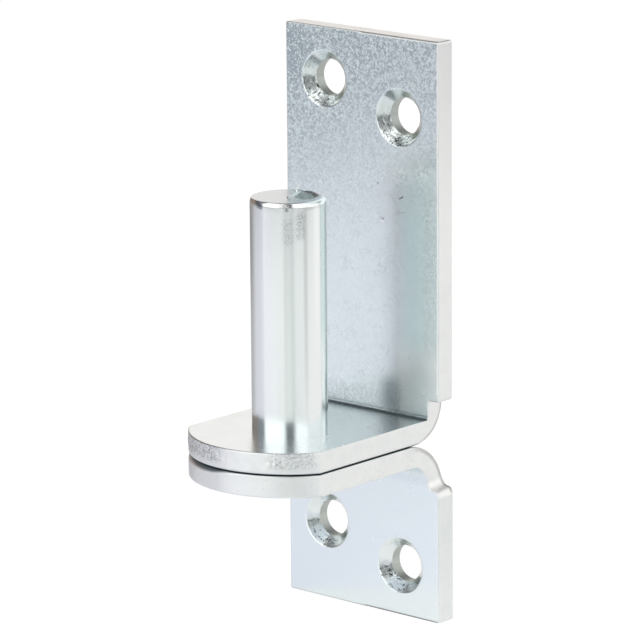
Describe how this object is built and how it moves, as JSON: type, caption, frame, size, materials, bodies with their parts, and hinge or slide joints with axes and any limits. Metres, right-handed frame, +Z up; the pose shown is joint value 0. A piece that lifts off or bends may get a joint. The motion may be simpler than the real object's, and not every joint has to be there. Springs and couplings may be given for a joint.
{
  "type": "gate hinge pin on wall plate",
  "caption": "Plain round hinge pin riveted through the tongues of an upper and a lower bent wall plate with countersunk screw holes, for carrying a gate's strap hinge.",
  "frame": {"origin": "on the pin's axis, where its shoulder sits on the top face of the upper tongue", "axes": "+Z up along the pin, +X to the right as seen from in front, +Y into the wall that the flanges are screwed to"},
  "size_m": [0.0342, 0.0406, 0.102],
  "materials": {
    "upper_plate_zinc": "bright zinc plating on hot-rolled strip, fine mottled grain",
    "lower_plate_zinc": "bright zinc plating, smoother and slightly bluish",
    "pin_zinc": "bright zinc plating on drawn round bar, near mirror"
  },
  "bodies": {
    "root": {"upper_plate": "upper_plate_zinc", "lower_plate": "lower_plate_zinc", "hinge_pin": "pin_zinc"}
  },
  "joints": []
}
